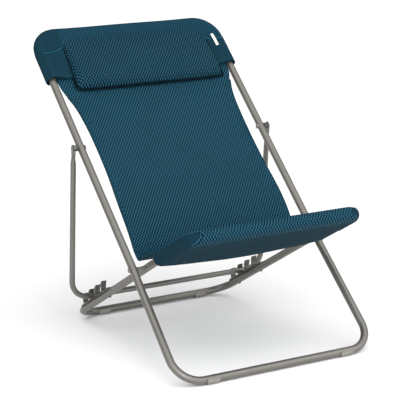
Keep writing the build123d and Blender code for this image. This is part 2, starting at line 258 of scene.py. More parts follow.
def math_node(tree, operation, a, b=None):
    made = node(tree, "ShaderNodeMath", operation=operation)
    for i, value in enumerate((a, b)):
        if value is None:
            continue
        if isinstance(value, (int, float)):
            made.inputs[i].default_value = value
        else:
            tree.links.new(value, made.inputs[i])
    return made.outputs[0]


def smooth_range(tree, value, low, high, to_low=0.0, to_high=1.0):
    made = node(tree, "ShaderNodeMapRange", interpolation_type="SMOOTHSTEP")
    tree.links.new(value, made.inputs["Value"])
    made.inputs["From Min"].default_value = low
    made.inputs["From Max"].default_value = high
    made.inputs["To Min"].default_value = to_low
    made.inputs["To Max"].default_value = to_high
    return made.outputs["Result"]


def mix_colour(tree, factor, first, second):
    made = node(tree, "ShaderNodeMix", data_type="RGBA")
    if isinstance(factor, (int, float)):
        made.inputs["Factor"].default_value = factor
    else:
        tree.links.new(factor, made.inputs["Factor"])
    for socket, value in (("A", first), ("B", second)):
        target = [s for s in made.inputs if s.name == socket and s.type == "RGBA"][0]
        if isinstance(value, tuple):
            target.default_value = value + (1.0,)
        else:
            tree.links.new(value, target)
    return [s for s in made.outputs if s.type == "RGBA"][0]


def noise(tree, vector, scale, detail=3.0, rough=0.5):
    made = node(tree, "ShaderNodeTexNoise")
    tree.links.new(vector, made.inputs["Vector"])
    made.inputs["Scale"].default_value = scale
    made.inputs["Detail"].default_value = detail
    made.inputs["Roughness"].default_value = rough
    return made.outputs["Fac"]


def bump(tree, bsdf, height, distance, strength=1.0):
    made = node(tree, "ShaderNodeBump")
    made.inputs["Strength"].default_value = strength
    made.inputs["Distance"].default_value = distance
    tree.links.new(height, made.inputs["Height"])
    tree.links.new(made.outputs["Normal"], bsdf.inputs["Normal"])


def cloth_coords(tree, flat_uv):
    """Two lengths on the cloth in metres, and a point for noise."""
    coords = node(tree, "ShaderNodeTexCoord")
    if flat_uv:
        split = node(tree, "ShaderNodeSeparateXYZ")
        tree.links.new(coords.outputs["UV"], split.inputs[0])
        return split.outputs[0], split.outputs[1], coords.outputs["UV"]
    turned = node(tree, "ShaderNodeMapping", vector_type="POINT")
    turned.inputs["Rotation"].default_value = (-BACK_ANGLE, 0.0, 0.0)
    tree.links.new(coords.outputs["Object"], turned.inputs["Vector"])
    split = node(tree, "ShaderNodeSeparateXYZ")
    tree.links.new(turned.outputs[0], split.inputs[0])
    return split.outputs[0], split.outputs[1], turned.outputs[0]


HOLE_PITCH = 0.0083                          # the mesh's holes, metres across the cloth
ROW_PITCH = 0.0116                           # and along it
YARN_ACROSS = 0.0011
YARN_ALONG = 0.0013
WEAVE_PITCH = 0.0012
CLOTH_SPECULAR = 0.06
PETROL = (0.0185, 0.0820, 0.1220)
# darkest teal: random flecks, and painted shade in the mesh's holes
PETROL_FLECK_AND_HOLE_SHADE = (0.0010, 0.0090, 0.0185)
# lightest teal: painted highlight on the mesh's ribs
PETROL_RIB_HIGHLIGHT = (0.0400, 0.1500, 0.2050)
MESH_LOW = (0.0035, 0.0320, 0.0570)
MESH_HIGH = (0.0052, 0.0415, 0.0710)
CLOTH_LOW = (0.0045, 0.0330, 0.0530)
CLOTH_HIGH = (0.0065, 0.0410, 0.0660)


def padded_mesh_material(name, flat_uv, tone=1.0, depth=1.0):
    """Knitted spacer mesh: staggered holes between soft ribs, with fine yarn on the ribs. The ribs are
    lightened as painted highlight and the holes darkened as painted shade; depth scales both and the
    bump.
    """
    mat, tree, bsdf = new_material(name)
    u, v, point = cloth_coords(tree, flat_uv)
    across = math_node(tree, "COSINE", math_node(tree, "MULTIPLY", u, 2 * math.pi / HOLE_PITCH))
    along = math_node(tree, "COSINE", math_node(tree, "MULTIPLY", v, 2 * math.pi / ROW_PITCH))
    lattice = math_node(tree, "MULTIPLY", across, along)
    hole = smooth_range(tree, lattice, 0.12, 0.62)
    rib = smooth_range(tree, lattice, -0.05, -0.75)
    yarn_u = math_node(tree, "SINE", math_node(tree, "MULTIPLY", u, 2 * math.pi / YARN_ACROSS))
    yarn_v = math_node(tree, "SINE", math_node(tree, "MULTIPLY", v, 2 * math.pi / YARN_ALONG))
    yarn = math_node(tree, "MULTIPLY", yarn_u, yarn_v)
    patch = noise(tree, point, 9.0, 3.0)
    fleck = noise(tree, point, 420.0, 2.0)
    low = tuple(c * tone for c in MESH_LOW)
    high = tuple(c * tone for c in MESH_HIGH)
    light = tuple(c * tone for c in PETROL_RIB_HIGHLIGHT)
    base = mix_colour(tree, patch, low, high)
    # painted highlight: the ribs between the holes are lightened
    rib_highlit = mix_colour(tree, math_node(tree, "MULTIPLY", rib, 0.75 * depth), base, light)
    flecked = mix_colour(tree, smooth_range(tree, fleck, 0.35, 0.75, 0.0, 0.22), rib_highlit,
                         PETROL_FLECK_AND_HOLE_SHADE)
    # painted shade: the holes are darkened nearly to the darkest teal
    colour = mix_colour(tree, math_node(tree, "MULTIPLY", hole, 0.93 * depth), flecked,
                        PETROL_FLECK_AND_HOLE_SHADE)
    tree.links.new(colour, bsdf.inputs["Base Color"])
    rough = smooth_range(tree, hole, 0.0, 1.0, 0.62, 0.95)
    tree.links.new(rough, bsdf.inputs["Roughness"])
    bsdf.inputs["Specular IOR Level"].default_value = CLOTH_SPECULAR
    height = math_node(tree, "SUBTRACT", math_node(tree, "MULTIPLY", yarn, 0.06), hole)
    height = math_node(tree, "ADD", height, math_node(tree, "MULTIPLY", rib, 0.35))
    bump(tree, bsdf, height, 0.0020, depth)
    return mat


def plain_cloth_material(name, flat_uv, tint=1.0):
    """Tight plain weave with a little unevenness in the dye."""
    mat, tree, bsdf = new_material(name)
    u, v, point = cloth_coords(tree, flat_uv)
    warp = math_node(tree, "SINE", math_node(tree, "MULTIPLY", u, 2 * math.pi / WEAVE_PITCH))
    weft = math_node(tree, "SINE", math_node(tree, "MULTIPLY", v, 2 * math.pi / WEAVE_PITCH))
    weave = math_node(tree, "MULTIPLY", warp, weft)
    patch = noise(tree, point, 14.0, 4.0)
    low = tuple(c * tint for c in CLOTH_LOW)
    high = tuple(c * tint for c in CLOTH_HIGH)
    base = mix_colour(tree, patch, low, high)
    colour = mix_colour(tree, smooth_range(tree, weave, -0.2, 0.9, 0.0, 0.35), base,
                        tuple(c * tint * 1.5 for c in PETROL))
    tree.links.new(colour, bsdf.inputs["Base Color"])
    grain = noise(tree, point, 900.0, 2.0)
    tree.links.new(smooth_range(tree, grain, 0.2, 0.8, 0.70, 0.88), bsdf.inputs["Roughness"])
    bsdf.inputs["Specular IOR Level"].default_value = CLOTH_SPECULAR
    soft = noise(tree, point, 26.0, 2.0)
    height = math_node(tree, "ADD", math_node(tree, "MULTIPLY", weave, 0.12), soft)
    bump(tree, bsdf, height, 0.0012, 0.5)
    return mat


def painted_tube_material(name, light, dark, metal, rough):
    """Powder coat: fine orange peel, faint handling marks and dulled spots."""
    mat, tree, bsdf = new_material(name)
    coords = node(tree, "ShaderNodeTexCoord")
    point = coords.outputs["Object"]
    patch = noise(tree, point, 16.0, 4.0)
    speck = noise(tree, point, 1500.0, 1.0)
    scuff = noise(tree, point, 90.0, 5.0, 0.65)
    base = mix_colour(tree, patch, dark, light)
    speckled = mix_colour(tree, smooth_range(tree, speck, 0.45, 0.8, 0.0, 0.3), base,
                          tuple(min(c * 1.35, 1.0) for c in light))
    worn = smooth_range(tree, scuff, 0.70, 0.85, 0.0, 0.10)
    colour = mix_colour(tree, worn, speckled, tuple(c * 0.6 for c in dark))
    tree.links.new(colour, bsdf.inputs["Base Color"])
    bsdf.inputs["Metallic"].default_value = metal
    tree.links.new(smooth_range(tree, scuff, 0.3, 0.75, rough - 0.05, rough + 0.12),
                   bsdf.inputs["Roughness"])
    peel = noise(tree, point, 650.0, 2.0)
    bump(tree, bsdf, peel, 0.0002, 0.35)
    return mat


def moulded_material(name, colour, rough):
    """Moulded plastic: slight sink marks, fine spark-eroded grain."""
    mat, tree, bsdf = new_material(name)
    coords = node(tree, "ShaderNodeTexCoord")
    point = coords.outputs["Object"]
    patch = noise(tree, point, 40.0, 3.0)
    mixed = mix_colour(tree, patch, tuple(c * 0.85 for c in colour),
                       tuple(c * 1.12 for c in colour))
    tree.links.new(mixed, bsdf.inputs["Base Color"])
    grain = noise(tree, point, 1800.0, 1.0)
    tree.links.new(smooth_range(tree, grain, 0.2, 0.8, rough - 0.08, rough + 0.08),
                   bsdf.inputs["Roughness"])
    bump(tree, bsdf, grain, 0.0002, 0.5)
    return mat


def brushed_material(name, colour):
    """Zinc-plated steel with fine turned lines."""
    mat, tree, bsdf = new_material(name)
    coords = node(tree, "ShaderNodeTexCoord")
    stretched = node(tree, "ShaderNodeMapping")
    stretched.inputs["Scale"].default_value = (1.0, 14.0, 14.0)
    tree.links.new(coords.outputs["Object"], stretched.inputs["Vector"])
    lines = noise(tree, stretched.outputs[0], 260.0, 3.0)
    mixed = mix_colour(tree, lines, tuple(c * 0.8 for c in colour), colour)
    tree.links.new(mixed, bsdf.inputs["Base Color"])
    bsdf.inputs["Metallic"].default_value = 0.85
    tree.links.new(smooth_range(tree, lines, 0.3, 0.7, 0.30, 0.46), bsdf.inputs["Roughness"])
    bump(tree, bsdf, lines, 0.0001, 0.4)
    return mat


mesh_uv = padded_mesh_material("padded_mesh_flat", True)
# the pillow's and the hood's copies of the mesh are darkened (tone 0.84, 0.86): painted shade
mesh_obj = padded_mesh_material("padded_mesh_pillow", False, 0.84)
mesh_hood = padded_mesh_material("padded_mesh_hood", True, 0.86, 0.45)
cloth_uv = plain_cloth_material("plain_cloth_flat", True, 0.62)
# darker copy of the plain cloth for the pocket under the seat front and the seat's corner caps: painted
# shade
cloth_under = plain_cloth_material("plain_cloth_underside_painted_shade", True, 0.58)
cloth_edge = plain_cloth_material("plain_cloth_edge", True, 0.8)
tube_mat = painted_tube_material("tube_paint", (0.185, 0.176, 0.161), (0.150, 0.143, 0.130),
                                 0.70, 0.33)
rack_mat = painted_tube_material("rack_paint", (0.120, 0.116, 0.106), (0.085, 0.082, 0.075),
                                 0.45, 0.40)
steel_mat = brushed_material("pivot_steel", (0.34, 0.33, 0.31))
rivet_mat = brushed_material("rivet_steel", (0.10, 0.10, 0.10))
pad_mat = moulded_material("floor_pad", (0.215, 0.205, 0.188), 0.62)
washer_mat = moulded_material("pivot_washer", (0.055, 0.055, 0.055), 0.55)
tag_mat = moulded_material("tag_cloth", (0.78, 0.78, 0.76), 0.85)
stitch_mat = plain_cloth_material("stitch_thread", False, 1.7)
# lighter piping cloth: painted highlight along the flap tops and the seat corners' rims
piping_highlight_mat = plain_cloth_material("piping_painted_highlight", True, 1.9)
# near-black cloth: a painted shadow line under the pillow's edges
shade_mat = plain_cloth_material("piping_painted_shadow", True, 0.12)


def paint(names, mat):
    for name in names:
        obj = nodes[name]
        obj.data.materials.clear()
        obj.data.materials.append(mat)


paint(["back_tube", "seat_tube", "prop_tube"], tube_mat)
paint(["rack_left", "rack_right"], rack_mat)
paint(["rack_rivets"], rivet_mat)
paint(["back_tube_sleeve", "seat_tube_sleeve", "seat_pivot_nuts", "prop_pivot_nuts"], steel_mat)
paint(["seat_pivot_bolts", "prop_pivot_bolts", "seat_pivot_spacers"], tube_mat)
paint(["prop_pivot_washers"], washer_mat)
paint(["front_foot_left", "front_foot_right", "rear_foot_left", "rear_foot_right"], pad_mat)

# ---- sling: one padded mesh sheet from inside the hood round to under the seat front --------
SHEET = 5.0                                  # cloth thickness
WRAP = 16.0                                  # sheet middle round the seat front
EDGE_ZONE = 40.0
EDGE_STEPS = [1.0, 0.75, 0.55, 0.4, 0.28, 0.19, 0.12, 0.065, 0.025, 0.0]
NOSE_HALF = SEAT_HALF + WRAP
NOSE_BEND = 42.0                             # the cover's corners are fuller than the tube's
NOSE_CORNER_T = SEAT_LENGTH + WRAP - NOSE_BEND
NOSE_CORNER_X = NOSE_HALF - NOSE_BEND
TOP_END = 725                                # the side line stops here and the turn begins
MESH_END = 728.0                             # the mesh is sewn off here on the underside
MIDDLE_COLUMNS = 22
ROW_STEP = 7.0                               # between the sling's rows, along the cloth
SUB_STEPS = 12                               # smoothed points between two stations
BACK_WIDTH = [                               # half width of the sling at s up the back
    (380, 230.5), (392, 232.5), (399, 236.0), (412, 237.4), (430, 237.8), (460, 238.0),
    (510, 237.5), (560, 235.0), (610, 231.5), (660, 230.0), (710, 230.0), (760, 231.0),
    (810, 233.5), (840, 236.5), (860, 240.0), (880, 245.5), (900, 252.5), (915, 258.5),
    (930, 262.5), (945, 263.8), (1000, 264.0),
]


def nose_x(inset, t):
    """Half width of the seat front's outline, shrunk by inset."""
    if t <= NOSE_CORNER_T:
        return NOSE_HALF - inset
    room = (NOSE_BEND - inset) ** 2 - (t - NOSE_CORNER_T) ** 2
    return NOSE_CORNER_X + math.sqrt(max(room, 0.0))


def nose_inset(x, t):
    """How far a point lies inside the outline of the seat front."""
    ax = abs(x)
    if t > NOSE_CORNER_T and ax > NOSE_CORNER_X:
        return NOSE_BEND - math.hypot(ax - NOSE_CORNER_X, t - NOSE_CORNER_T)
    return min(NOSE_HALF - ax, SEAT_LENGTH + WRAP - t)


def round_over(inset, radius):
    k = min(max(inset / radius, 0.0), 1.0)
    return radius * math.sqrt(max(1 - (1 - k) ** 2, 0.0))


def side_line():
    """Side view of the sheet: (kind, a, b) stations from the hood to the seat front."""
    stations = [("back", s, d) for s, d in [
        (990, 0), (960, 0), (930, 0), (900, 0), (860, 0), (820, 0), (780, 0), (740, -0.5),
        (700, -1), (660, -1.5), (620, -2), (580, -3), (540, -4), (505, -5), (475, -7.5),
        (450, -11), (430, -15.5), (413, -20.5), (400, -26)]]
    stations += [("seat", t, h) for t, h in [
        (451, 33), (458, 29.8), (470, 28.6), (490, 28.0), (515, 26.5), (540, 24.2),
        (565, 21.5), (590, 18.8), (615, 16.5), (640, 15), (660, 15.3), (680, WRAP - 0.3),
        (700, WRAP), (TOP_END, WRAP)]]
    return stations


def station_point(kind, a, b, x):
    return on_back(x, a, b) if kind == "back" else on_seat(x, a, b)


def seat_edge(t):
    """Half width of the sling just in front of the crease."""
    return 231.5 + 4.5 * ease(450, 460, t) + 2.0 * ease(480, 560, t)


def columns(edge):
    """Places across the sling, closer together towards its two edges."""
    xs = [-(edge - EDGE_ZONE * g) for g in EDGE_STEPS[::-1]]
    xs += [(edge - EDGE_ZONE) * (2 * j / MIDDLE_COLUMNS - 1) for j in range(1, MIDDLE_COLUMNS)]
    return xs + [edge - EDGE_ZONE * g for g in EDGE_STEPS]


def build_sling():
    stations = side_line()
    back_stations = sum(1 for kind, _, _ in stations if kind == "back")
    # smooth the stations in the side view and resample them evenly
    flat = [station_point(k, a, b, 0.0) / MM for k, a, b in stations]
    fine = []
    for i in range(len(flat) - 1):
        p0, p1 = flat[max(i - 1, 0)], flat[i]
        p2, p3 = flat[i + 1], flat[min(i + 2, len(flat) - 1)]
        for k in range(SUB_STEPS):
            q = k / SUB_STEPS
            fine.append(0.5 * ((2 * p1) + (p2 - p0) * q + (2 * p0 - 5 * p1 + 4 * p2 - p3) * q * q
                               + (3 * p1 - p0 - 3 * p2 + p3) * q ** 3))
    fine.append(flat[-1])
    lengths = [0.0]
    for a, b in zip(fine, fine[1:]):
        lengths.append(lengths[-1] + (b - a).length)
    count = int(lengths[-1] / ROW_STEP)
    rows, uvs, at = [], [], 0
    for i in range(count + 1):
        want = lengths[-1] * i / count
        while at < len(lengths) - 2 and lengths[at + 1] < want:
            at += 1
        k = (want - lengths[at]) / max(lengths[at + 1] - lengths[at], 1e-9)
        p = fine[at].lerp(fine[at + 1], k)
        dy, dz = p.y - FRONT_BAR_Y, p.z - FLOOR_BAR_Z
        s = dy * math.cos(BACK_ANGLE) + dz * math.sin(BACK_ANGLE)
        ry, rz = p.y - rear_bar_y, p.z - FLOOR_BAR_Z
        t = -ry * math.cos(SEAT_ANGLE) + rz * math.sin(SEAT_ANGLE)
        tangent = (fine[min(at + 1, len(fine) - 1)] - fine[at]).normalized()
        normal = Vector((0.0, tangent.z, -tangent.y))
        # the seat side of the crease is told by how far along the line the row is
        on_front = want > lengths[SUB_STEPS * back_stations]
        if on_front:
            edge = seat_edge(t) + (nose_x(0.0, t) - seat_edge(t)) * ease(590, 700, t)
        else:
            edge = lerp_table(BACK_WIDTH, s)
        row, uv = [], []
        for x in columns(edge):
            lift = 0.0
            if on_front:
                inset = nose_inset(x, t)
                lift -= (WRAP - round_over(inset, WRAP)) * ease(590, 690, t)
                lift -= 3.0 * (1 - (x / edge) ** 2) * ease(500, 620, t) * (1 - ease(700, 745, t))
                lift += 0.7 * ripple(x, want, 3) * ease(470, 540, t) * (1 - ease(640, 700, t))
            else:
                hang = 1 - (x / edge) ** 2
                lift -= 2.2 * hang * ease(430, 560, s) * (1 - ease(880, 950, s))
                lift += 0.8 * ripple(x, want, 1) * (1 - ease(880, 950, s))
                pull = ease(820, 900, s) * (1 - ease(940, 952, s)) * ease(150, 240, abs(x))
                lift += 1.6 * math.sin((abs(x) - s) * 0.09) * pull
            q = p + normal * lift
            row.append(Vector((x, q.y, q.z)) * MM)
            uv.append((x * MM, -want * MM))
        rows.append(row)
        uvs.append(uv)
    # round the front bar and a little way back along the underside
    round_bar = [85, 75, 65, 55, 45, 35, 25, 15, 7, 0]
    turn = [(t, 1) for t in (732.0, 739.0, 746.0, 752.0)]
    turn += [(SEAT_LENGTH + WRAP * math.cos(math.radians(a)), 1) for a in round_bar]
    turn += [(SEAT_LENGTH + WRAP * math.cos(math.radians(a)), -1) for a in round_bar[-2::-1]]
    turn += [(t, -1) for t in (750.0, 743.0, 736.0, MESH_END)]
    last = (TOP_END, WRAP)
    run = lengths[-1]
    for t, face_sign in turn:
        h_mid = face_sign * round_over(SEAT_LENGTH + WRAP - t, WRAP)
        run += math.hypot(t - last[0], h_mid - last[1])
        last = (t, h_mid)
        edge = nose_x(0.0, t)
        row, uv = [], []
        for x in columns(edge):
            inset = nose_inset(x, t)
            h = face_sign * round_over(inset, WRAP)
            if face_sign > 0:
                h -= 3.0 * (1 - (x / edge) ** 2) * (1 - ease(700, 745, t))
            row.append(on_seat(x, t, h))
            uv.append((x * MM, -run * MM))
        rows.append(row)
        uvs.append(uv)
    obj = grid_object("sling", rows, uvs)
    add_modifier(obj, "SOLIDIFY", thickness=SHEET * MM, offset=0.0, use_rim=True)
    add_modifier(obj, "SUBSURF", levels=1, render_levels=1)
    apply_modifiers(obj)
    obj.data.materials.append(mesh_uv)
    return obj, run * MM


COVER_SHIFT = 4.0                            # the seat cover sits a little to the right


def shift_cover(obj):
    """Moves the front of the seat cover sideways and leaves its rear where it is."""
    for v in obj.data.vertices:
        y, z = v.co.y / MM - rear_bar_y, v.co.z / MM - FLOOR_BAR_Z
        t = -y * math.cos(SEAT_ANGLE) + z * math.sin(SEAT_ANGLE)
        v.co.x += COVER_SHIFT * ease(575, 700, t) * MM


sling, sling_length = build_sling()
shift_cover(sling)
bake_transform(sling)
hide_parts("sling_back", "sling_seat")


# ---- rolled binding down each free side of the sling ----------------------------------------
def build_binding(side, name):
    stations = [("back", s, d) for s, d in [
        (900, 0), (880, 0), (860, 0), (830, 0), (800, 0), (760, 0), (720, -1), (680, -1.5),
        (640, -2), (600, -3), (560, -4), (520, -5), (490, -6.5), (465, -9), (445, -12),
        (425, -17), (410, -22), (400, -26)]]
    stations += [("seat", t, h) for t, h in [
        (454, 31.2), (470, 28.4), (490, 27.8), (515, 26.3), (540, 24.0), (560, 21.9)]]
    rows, uvs = [], []
    run = 0.0
    last = None
    around = 10
    for kind, a, b in stations:
        edge = lerp_table(BACK_WIDTH, a) if kind == "back" else seat_edge(a)
        centre = station_point(kind, a, b + 0.6 * ripple(edge, a, 2), side * (edge + 0.6))
        if last is not None:
            run += (centre - last).length
        last = centre
        row, uv = [], []
        for j in range(around):
            ang = 2 * math.pi * j / around
            out = Vector((side * 3.0 * math.cos(ang), 0, 0)) * MM
            lift = 4.3 * math.sin(ang)
            up = station_point(kind, a, b + lift, 0.0) - station_point(kind, a, b, 0.0)
            row.append(centre + out + up)
            uv.append((j * 0.0018, run))
        rows.append(row)
        uvs.append(uv)
    obj = grid_object(name, rows, uvs, closed=True)
    close_ends(obj)
    add_modifier(obj, "SUBSURF", levels=2, render_levels=2)
    apply_modifiers(obj)
    obj.data.materials.append(cloth_edge)
    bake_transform(obj)
    return obj


binding_left = build_binding(-1, "binding_l")
binding_right = build_binding(1, "binding_r")
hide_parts("binding_left")
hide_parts("binding_right")


# ---- pocket under the seat front ---------------------------------------------------------------
POCKET_HEM = 575.0
POCKET_WRAP = WRAP + SHEET / 2 - 0.4


def build_pocket():
    rows = []
    ts = [POCKET_HEM + i * 8.0 for i in range(int((748 - POCKET_HEM) / 8) + 1)]
    top_angles = [78, 64, 50, 36, 22, 10, 0]
    low_angles = [10, 22, 34, 46, 58, 70, 80, 90]
    inner = [i / 20 for i in range(1, 20)]
    for t in ts:
        tuck = 1.0 - ease(676, 722, t)
        half_row = []
        for a in top_angles:
            inset = POCKET_WRAP * (1 - math.cos(math.radians(a * tuck)))
            half_row.append((inset, 1, a * tuck))
        for a in low_angles[:-1]:
            inset = POCKET_WRAP * (1 - math.cos(math.radians(a)))
            half_row.append((inset, -1, a))
        edge_points = []
        for inset, face_sign, a in half_row:
            x = nose_x(inset - POCKET_WRAP + WRAP, t)
            h = face_sign * POCKET_WRAP * math.sin(math.radians(a))
            edge_points.append((x, h))
        x_in = nose_x(WRAP, t)
        slack = (1 - ease(POCKET_HEM, 735, t))
        points = [(-x, h) for x, h in edge_points]
        for k in [0.0] + inner + [1.0]:
            x = -x_in + 2 * x_in * k
            dip = math.sin(math.pi * k)
            h = -POCKET_WRAP - 9.5 * slack * dip ** 0.8
            h -= 0.9 * ripple(x * 1.2, t, 5) * dip * (0.3 + slack)
            points.append((x, h))
        points += [(x, h) for x, h in edge_points[::-1]]
        rows.append([on_seat(x, t, h) for x, h in points])
    obj = grid_object("seat_pocket_cloth", rows, arc_uvs(rows))
    add_modifier(obj, "SOLIDIFY", thickness=1.6 * MM, offset=0.0, use_rim=True)
    add_modifier(obj, "SUBSURF", levels=1, render_levels=1)
    apply_modifiers(obj)
    # the pocket gets the darkened underside cloth: painted shade
    obj.data.materials.append(cloth_under)
    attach(obj, "seat_frame")
    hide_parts("seat_pocket")
    return obj


pocket = build_pocket()
shift_cover(pocket)

# ---- hood over the top of the back frame ---------------------------------------------------------
HOOD_HEM = 952.0
HOOD_WRAP = 16.5
HOOD_BEND = 76.0
HOOD_CORNER_S = BACK_LENGTH + HOOD_WRAP - HOOD_BEND
HOOD_CORNER_X = BACK_HALF + HOOD_WRAP - HOOD_BEND
MESH_FROM = -207.0                   # the hood's face is mesh from here to its right edge
HOOD_FLAT = 5.0                      # half thickness where the two layers lie together


def hood_x(inset, s):
    if s <= HOOD_CORNER_S:
        return BACK_HALF + HOOD_WRAP - inset
    room = (HOOD_BEND - inset) ** 2 - (s - HOOD_CORNER_S) ** 2
    return HOOD_CORNER_X + math.sqrt(max(room, 0.0))


def hood_depth(x, s):
    """Half thickness of the hood at a point of its outline."""
    ax = abs(x)
    if s > HOOD_CORNER_S and ax > HOOD_CORNER_X:
        inset = HOOD_BEND - math.hypot(ax - HOOD_CORNER_X, s - HOOD_CORNER_S)
    else:
        inset = min(BACK_HALF + HOOD_WRAP - ax, BACK_LENGTH + HOOD_WRAP - s)
    if inset <= HOOD_WRAP:
        return round_over(inset, HOOD_WRAP)
    return HOOD_WRAP + (HOOD_FLAT - HOOD_WRAP) * ease(HOOD_WRAP, HOOD_WRAP + 42, inset)


def build_hood():
    rows, uvs = [], []
    stops = [HOOD_HEM + i * 7.5 for i in range(21)]
    stops += [BACK_LENGTH + HOOD_WRAP * math.sin(math.radians(a))
              for a in (0, 15, 30, 42, 54, 64, 73, 80, 86, 89.5)]
    edge_insets = [0.0, 0.4, 1.5, 3.3, 5.7, 8.6, 12.3, 17, 23, 30, 38, 47, 58, 70]
    middle = 24
    for s in stops:
        side_xs = [hood_x(i, s) for i in edge_insets]
        core = side_xs[-1]
        if s > HOOD_CORNER_S:
            core = min(side_xs[-1], HOOD_CORNER_X)
            wide = hood_x(0.0, s)
            keep = [1 - i / 70 for i in edge_insets]
            side_xs = [core + (wide - core) * (1 - (1 - k) ** 0.55) if k < 1 else wide
                       for k in keep]
            side_xs = sorted(side_xs, reverse=True)
            core = side_xs[-1]
        front = [-x for x in side_xs]
        front += [core * (2 * j / middle - 1) for j in range(1, middle)]
        front += side_xs[::-1]
        ring, uv = [], []
        pull = 0.5 + 0.5 * (1 - ease(HOOD_HEM, 1050, s))
        for sign, xs in ((1, front), (-1, front[::-1][1:-1])):
            for x in xs:
                depth = hood_depth(x, s)
                wrinkle = 0.9 * ripple(x * 1.3, s * 1.4, 8 + sign)
                crease = 1.1 * math.sin((abs(x) * 0.75 + s) * 0.085) * ease(120, 230, abs(x))
                crease *= ease(250, 225, abs(x))
                d = sign * max(depth + (wrinkle + crease * pull) * ease(0, 12, depth), 0.0)
                ring.append(on_back(x, s, d))
                uv.append((x * MM * sign, s * MM))
        rows.append(ring)
        uvs.append(uv)
    obj = grid_object("hood_cloth", rows, uvs, closed=True)
    bm = bmesh.new()
    bm.from_mesh(obj.data)
    bmesh.ops.remove_doubles(bm, verts=bm.verts, dist=0.00015)
    bmesh.ops.recalc_face_normals(bm, faces=bm.faces)
    top = [e for e in bm.edges if e.is_boundary and
           all((v.co.z > on_back(0, 1100, -20).z) for v in e.verts)]
    bmesh.ops.holes_fill(bm, edges=top)
    for face in bm.faces:
        face.smooth = True
    bm.to_mesh(obj.data)
    bm.free()
    add_modifier(obj, "SOLIDIFY", thickness=3.0 * MM, offset=0.0, use_rim=True)
    add_modifier(obj, "SUBSURF", levels=1, render_levels=1)
    apply_modifiers(obj)
    obj.data.materials.append(cloth_uv)
    obj.data.materials.append(mesh_hood)
    for poly in obj.data.polygons:
        gap = poly.center - on_back(0, 0, 0)
        on_face = gap.dot(BACK_OUT) > 0.001 and poly.normal.dot(BACK_OUT) > 0.05
        if poly.center.x > MESH_FROM * MM and on_face:
            poly.material_index = 1
    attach(obj, "back_frame")
    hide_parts("hood")
    return obj


hood = build_hood()

# ---- headrest pillow --------------------------------------------------------------------------------
PILLOW_LEFT = -222.0
PILLOW_RIGHT = 236.0
PILLOW_LEFT_TOP = -209.0
PILLOW_FOOT = 908.0
PILLOW_HEAD = 1094.0
SEWN_DEPTH = 0.0085                  # metres off the back's plane; points nearer than this are sewn down
PUFF_PRESSURE = 3.0
PUFF_CAP = 7.0                       # how far the simulation may move a point
PUFF_FRAMES = 14


def pillow_x(share, s):
    rise = (s - PILLOW_FOOT) / (PILLOW_HEAD - PILLOW_FOOT)
    left = PILLOW_LEFT + (PILLOW_LEFT_TOP - PILLOW_LEFT) * rise
    return left + 3 + (PILLOW_RIGHT - left - 6) * share


def build_pillow():
    """Wedge-shaped bag, thin where it is sewn on near the top and full at its lower edge."""
    profile = [(PILLOW_FOOT, 13), (PILLOW_FOOT + 3, 21), (PILLOW_FOOT + 14, 32),
               (PILLOW_FOOT + 38, 40), (PILLOW_FOOT + 72, 39), (PILLOW_FOOT + 110, 30),
               (PILLOW_FOOT + 150, 18), (PILLOW_HEAD, 8)]
    rows, uvs = [], []
    count = 40
    for j in range(count + 1):
        k = 2 * j / count - 1
        share = (k + 1) / 2
        shrink = max(1 - abs(k) ** 10, 0.0) ** 0.5
        ring, uv = [], []
        lift = 0.22 + 0.78 * shrink
        draw = 4.0 * abs(k) ** 6
        for s, d in profile:
            pulled = s + (draw if s < PILLOW_FOOT + 60 else -0.3 * draw)
            x = pillow_x(share, s)
            ring.append(on_back(x, pulled, 6 + (d - 6) * lift))
            uv.append((x * MM, s * MM))
        for s in (PILLOW_HEAD, PILLOW_FOOT + 130, PILLOW_FOOT + 60, PILLOW_FOOT):
            x = pillow_x(share, s)
            ring.append(on_back(x, s + (draw if s < PILLOW_FOOT + 10 else 0), 4.0))
            uv.append((x * MM, s * MM))
        rows.append(ring)
        uvs.append(uv)
    obj = grid_object("headrest", rows, uvs, closed=True)
    close_ends(obj, face_outward=True)
    add_modifier(obj, "REMESH", mode="VOXEL", voxel_size=0.005)
    apply_modifiers(obj)
    for poly in obj.data.polygons:
        poly.use_smooth = True
    puff(obj, PUFF_PRESSURE, PUFF_CAP, PUFF_FRAMES)
    add_modifier(obj, "SUBSURF", levels=1, render_levels=1)
    apply_modifiers(obj)
    obj.data.materials.append(mesh_obj)
    return obj


def puff(obj, pressure, cap_mm, frames):
    """Inflates a closed bag with cloth simulation and limits how far any point may move."""
    before = [v.co.copy() for v in obj.data.vertices]
    pinned = obj.vertex_groups.new(name="sewn")
    pinned.add([v.index for v in obj.data.vertices
                if (v.co - on_back(v.co.x / MM, 0, 0)).dot(BACK_OUT) < SEWN_DEPTH],
               1.0, "REPLACE")
    mod = obj.modifiers.new("cloth", "CLOTH")
    mod.settings.use_pressure = True
    mod.settings.uniform_pressure_force = pressure
    mod.settings.effector_weights.gravity = 0.0
    mod.settings.vertex_group_mass = "sewn"
    mod.settings.quality = 5
    mod.settings.tension_stiffness = 18
    mod.settings.bending_stiffness = 12.0
    mod.point_cache.frame_start = 1
    mod.point_cache.frame_end = frames
    scene = bpy.context.scene
    for number in range(1, frames + 1):
        scene.frame_set(number)
    apply_modifiers(obj)
    scene.frame_set(1)
    bm = bmesh.new()
    bm.from_mesh(obj.data)
    for _ in range(6):
        bmesh.ops.smooth_vert(bm, verts=bm.verts, factor=0.5,
                              use_axis_x=True, use_axis_y=True, use_axis_z=True)
    bm.to_mesh(obj.data)
    bm.free()
    cap = cap_mm * MM
    for v, old in zip(obj.data.vertices, before):
        move = v.co - old
        if move.length > cap:
            v.co = old + move * (cap / move.length)


pillow = build_pillow()
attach(pillow, "back_frame")
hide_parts("headrest_pillow")


